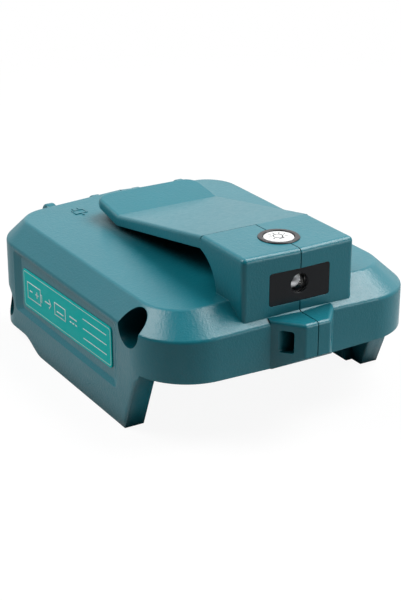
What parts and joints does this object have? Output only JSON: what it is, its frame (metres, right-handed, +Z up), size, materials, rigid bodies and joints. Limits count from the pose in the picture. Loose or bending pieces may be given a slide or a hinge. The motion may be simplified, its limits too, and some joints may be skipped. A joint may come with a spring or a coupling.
{
  "type": "power tool usb battery adapter",
  "caption": "Slide-on adapter that powers USB sockets and a small lamp from a tool battery, with belt clip, push button and hinged rubber socket covers.",
  "frame": {"origin": "middle of the footprint, on the surface the rail feet stand on", "axes": "+Y from the lamp end to the socket end, +Z up, +X away from the label side; the half shells meet at X = 0"},
  "size_m": [0.079, 0.1074, 0.0469],
  "materials": {
    "housing": "fine moulded grain",
    "label": "printed film",
    "panel": "smooth dark",
    "lens": "clear dome",
    "chrome": "bright",
    "black_plastic": "satin",
    "white_plastic": "satin",
    "rubber": "matte",
    "steel": "zinc plated",
    "tin": "bright tinned",
    "brass": "plated",
    "board": "solder mask",
    "phosphor": "lamp chip",
    "ferrite": "pressed",
    "copper": "enamelled wire",
    "wire": "sleeved",
    "can": "bright can"
  },
  "bodies": {
    "case": {"housing_left": "housing", "housing_right": "housing", "rating_label": "label", "light_panel": "panel", "led_lens": "lens", "led_reflector": "chrome", "button_bezel": "black_plastic", "case_screws": "steel", "led_chip": "phosphor", "led_leads": "tin", "led_board": "board", "switch_body": "black_plastic", "lamp_wires": "wire", "main_board": "board", "inductor_core": "ferrite", "inductor_winding": "copper", "capacitors": "can", "converter_chips": "black_plastic", "usb_shells": "tin", "usb_tongues": "white_plastic", "usb_contacts": "brass", "terminal_block": "black_plastic", "terminal_blades": "tin", "signal_contacts": "brass"},
    "button": {"button_cap": "white_plastic", "switch_plunger": "black_plastic"},
    "left_cover": {"usb_cover_left": "rubber"},
    "right_cover": {"usb_cover_right": "rubber"}
  },
  "joints": [
    {"name": "button_press", "type": "slide", "parent": "case", "child": "button", "axis": [0, 0, -1], "range_m": [0, 0.00035], "stiffness_N_per_m": 2400, "springref_m": -0.0005},
    {"name": "left_cover_hinge", "type": "hinge", "parent": "case", "child": "left_cover", "pos_m": [-0.01425, 0.0501, 0.0309], "axis": [1, 0, 0], "range_deg": [0, 120]},
    {"name": "right_cover_hinge", "type": "hinge", "parent": "case", "child": "right_cover", "pos_m": [0.01425, 0.0501, 0.0309], "axis": [1, 0, 0], "range_deg": [0, 120]}
  ]
}
